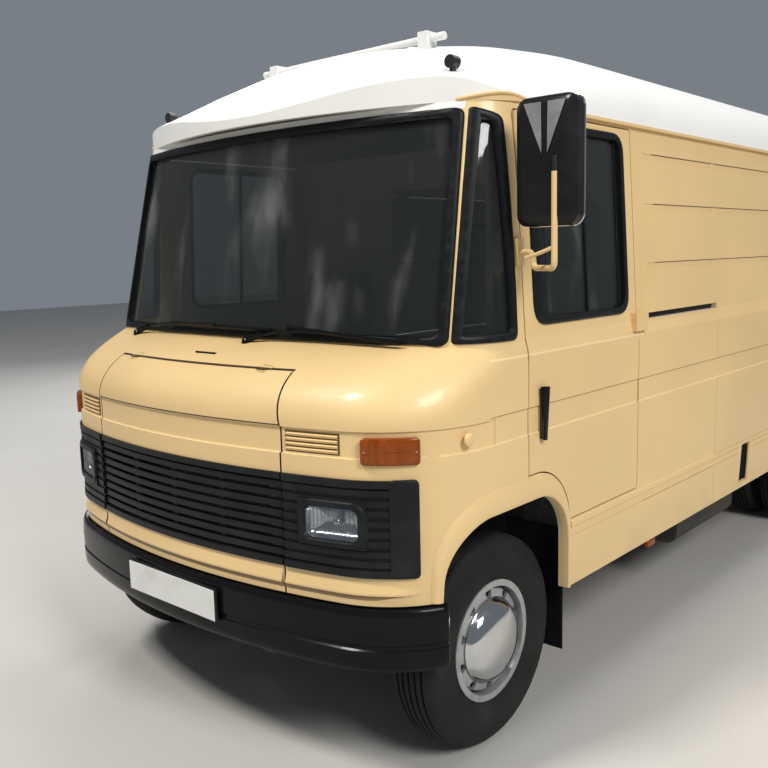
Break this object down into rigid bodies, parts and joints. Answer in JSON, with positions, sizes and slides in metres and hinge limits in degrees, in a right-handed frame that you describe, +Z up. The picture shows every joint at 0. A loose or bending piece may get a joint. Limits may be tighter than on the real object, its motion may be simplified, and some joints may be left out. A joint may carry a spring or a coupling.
{
  "type": "forward-control ice cream van",
  "caption": "Beige forward-control van with white roof, sliding cab doors and a top-hung kerbside serving hatch; it rolls, steers, and its bonnet, hatch and rear doors open.",
  "frame": {"origin": "on the ground under the middle of the box round the whole van", "axes": "+Z up, +Y towards the tail, +X towards the driver's (left) side"},
  "size_m": [2.57, 5.8, 2.7],
  "materials": {
    "beige": "brushed-on satin enamel, dusty",
    "white": "satin white enamel",
    "glass": "clear, faintly green",
    "lamp_glass": "fluted lens over a reflector",
    "rubber": "aged black rubber",
    "tyre": "worn black tyre rubber",
    "black_plastic": "faded black",
    "black_paint": "semi-gloss black",
    "amber": "ribbed amber lens",
    "red_lens": "ribbed red and amber lens",
    "steel": "brushed stainless sheet",
    "steel_dull": "dull, slightly rusty steel",
    "chassis": "old black chassis paint with dust",
    "iron": "oily cast iron",
    "fittings": "white painted bar, black lamp bodies",
    "floor_rubber": "ribbed floor mat",
    "floor_wood": "sealed birch ply",
    "inner_white": "grey-white inner paint",
    "seat_fabric": "dark woven seat cloth",
    "wheel_silver": "silver paint, chromed cap"
  },
  "bodies": {
    "root": {"cab_shell": "beige", "cab_doors": "beige", "cab_glass": "glass", "window_seals": "rubber", "lamp_panels": "black_plastic", "headlamps": "lamp_glass", "indicators": "amber", "front_bumper": "black_paint", "roof_shell": "white", "drip_rails": "beige", "side_panel_left": "beige", "side_panel_right": "beige", "serving_counter": "steel", "rear_frame": "beige", "rear_lamps": "red_lens", "rear_bumper": "black_paint", "cab_floor": "floor_rubber", "load_floor": "floor_wood", "bulkhead": "inner_white", "chassis_frame": "chassis", "leaf_springs": "chassis", "front_axle": "chassis", "rear_axle": "chassis", "engine_block": "iron", "exhaust": "steel_dull", "fuel_tank": "chassis", "roof_fittings": "fittings", "mirror_arm": "beige", "mirror_head": "black_plastic", "wipers": "black_paint", "mud_flaps": "rubber", "dashboard": "black_plastic", "seats": "seat_fabric"},
    "bonnet_lid": {"bonnet": "beige", "grille": "black_plastic"},
    "hatch_flap": {"serving_hatch": "beige"},
    "rear_leaf_left": {"rear_door_left": "beige", "rear_glass_left": "glass"},
    "rear_leaf_right": {"rear_door_right": "beige", "rear_glass_right": "glass"},
    "steer_left": {"knuckle_left": "chassis"},
    "steer_right": {"knuckle_right": "chassis"},
    "track_rod": {"track_rod": "chassis"},
    "steering_wheel": {"steering_wheel": "black_plastic"},
    "front_wheel_left": {"tyre_front_left": "tyre", "wheel_front_left": "wheel_silver"},
    "front_wheel_right": {"tyre_front_right": "tyre", "wheel_front_right": "wheel_silver"},
    "rear_wheels_left": {"tyres_rear_left": "tyre", "wheels_rear_left": "wheel_silver"},
    "rear_wheels_right": {"tyres_rear_right": "tyre", "wheels_rear_right": "wheel_silver"}
  },
  "joints": [
    {"name": "steer_left_turn", "type": "hinge", "parent": "root", "child": "steer_left", "pos_m": [0.72, -2.2, 0.385], "axis": [0, 0, 1], "range_deg": [-35, 35]},
    {"name": "steer_right_turn", "type": "hinge", "parent": "root", "child": "steer_right", "pos_m": [-0.72, -2.2, 0.385], "axis": [0, 0, 1], "range_deg": [-35, 35]},
    {"name": "track_rod_swing", "type": "hinge", "parent": "steer_left", "child": "track_rod", "pos_m": [0.72, -2.02, 0.286], "axis": [0, 0, 1], "range_deg": [-35, 35]},
    {"name": "steering_wheel_turn", "type": "hinge", "parent": "root", "child": "steering_wheel", "pos_m": [0.52, -2.15, 1.33], "axis": [0, 0.5736, 0.8192], "range_deg": [-700, 700]},
    {"name": "front_left_spin", "type": "hinge", "parent": "steer_left", "child": "front_wheel_left", "pos_m": [0.863, -2.2, 0.385], "axis": [1, 0, 0], "continuous": true},
    {"name": "front_right_spin", "type": "hinge", "parent": "steer_right", "child": "front_wheel_right", "pos_m": [-0.863, -2.2, 0.385], "axis": [1, 0, 0], "continuous": true},
    {"name": "rear_left_spin", "type": "hinge", "parent": "root", "child": "rear_wheels_left", "pos_m": [0.77, 1.3, 0.385], "axis": [1, 0, 0], "continuous": true},
    {"name": "rear_right_spin", "type": "hinge", "parent": "root", "child": "rear_wheels_right", "pos_m": [-0.77, 1.3, 0.385], "axis": [1, 0, 0], "continuous": true},
    {"name": "bonnet_open", "type": "hinge", "parent": "root", "child": "bonnet_lid", "pos_m": [0, -2.73, 1.397], "axis": [-1, 0, 0], "range_deg": [0, 60]},
    {"name": "hatch_open", "type": "hinge", "parent": "root", "child": "hatch_flap", "pos_m": [-1.0083, 0.17, 2.122], "axis": [0, 1, 0], "range_deg": [0, 92]},
    {"name": "rear_left_open", "type": "hinge", "parent": "root", "child": "rear_leaf_left", "pos_m": [0.936, 2.844, 1.44], "axis": [0, 0, -1], "range_deg": [0, 175]},
    {"name": "rear_right_open", "type": "hinge", "parent": "root", "child": "rear_leaf_right", "pos_m": [-0.936, 2.844, 1.44], "axis": [0, 0, 1], "range_deg": [0, 175]}
  ],
  "couplings": [
    {"joint": "steer_right_turn", "follows": "steer_left_turn", "ratio": 1},
    {"joint": "track_rod_swing", "follows": "steer_left_turn", "ratio": -1},
    {"joint": "steering_wheel_turn", "follows": "steer_left_turn", "ratio": 20}
  ]
}
